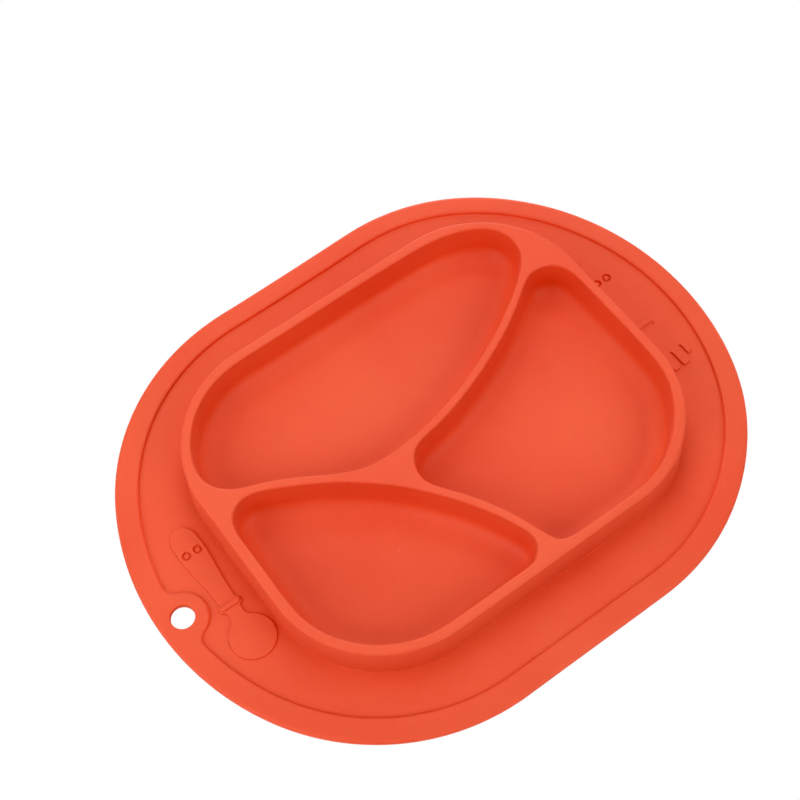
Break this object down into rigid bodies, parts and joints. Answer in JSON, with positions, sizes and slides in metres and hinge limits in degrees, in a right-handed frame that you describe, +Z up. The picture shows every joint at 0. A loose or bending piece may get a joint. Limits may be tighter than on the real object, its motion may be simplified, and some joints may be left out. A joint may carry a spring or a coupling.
{
  "type": "divided suction plate",
  "caption": "Oval soft placemat plate with a raised compartment tray, embossed cutlery, a hanging hole and push-in suction cups underneath.",
  "frame": {"origin": "on the table plane, below the centre of the mat; the plate stands 5.9 mm above it on its flattened suction cups", "axes": "+Z up out of the compartments; +X along the long axis towards the hanging hole; -Y towards the eater (the wide compartment)"},
  "size_m": [0.27, 0.2172, 0.0246],
  "materials": {
    "plate_silicone": "matte",
    "cup_silicone": "satin"
  },
  "bodies": {
    "plate": {"plate_body": "plate_silicone"},
    "cup_front_left": {"suction_cup_front_left": "cup_silicone"},
    "cup_front_right": {"suction_cup_front_right": "cup_silicone"},
    "cup_back_left": {"suction_cup_back_left": "cup_silicone"},
    "cup_back_right": {"suction_cup_back_right": "cup_silicone"}
  },
  "joints": [
    {"name": "press_front_left", "type": "slide", "parent": "plate", "child": "cup_front_left", "axis": [0, 0, 1], "range_m": [-0.0012, 0], "stiffness_N_per_m": 300, "springref_m": -0.0012},
    {"name": "press_front_right", "type": "slide", "parent": "plate", "child": "cup_front_right", "axis": [0, 0, 1], "range_m": [-0.0012, 0], "stiffness_N_per_m": 300, "springref_m": -0.0012},
    {"name": "press_back_left", "type": "slide", "parent": "plate", "child": "cup_back_left", "axis": [0, 0, 1], "range_m": [-0.0012, 0], "stiffness_N_per_m": 300, "springref_m": -0.0012},
    {"name": "press_back_right", "type": "slide", "parent": "plate", "child": "cup_back_right", "axis": [0, 0, 1], "range_m": [-0.0012, 0], "stiffness_N_per_m": 300, "springref_m": -0.0012}
  ]
}
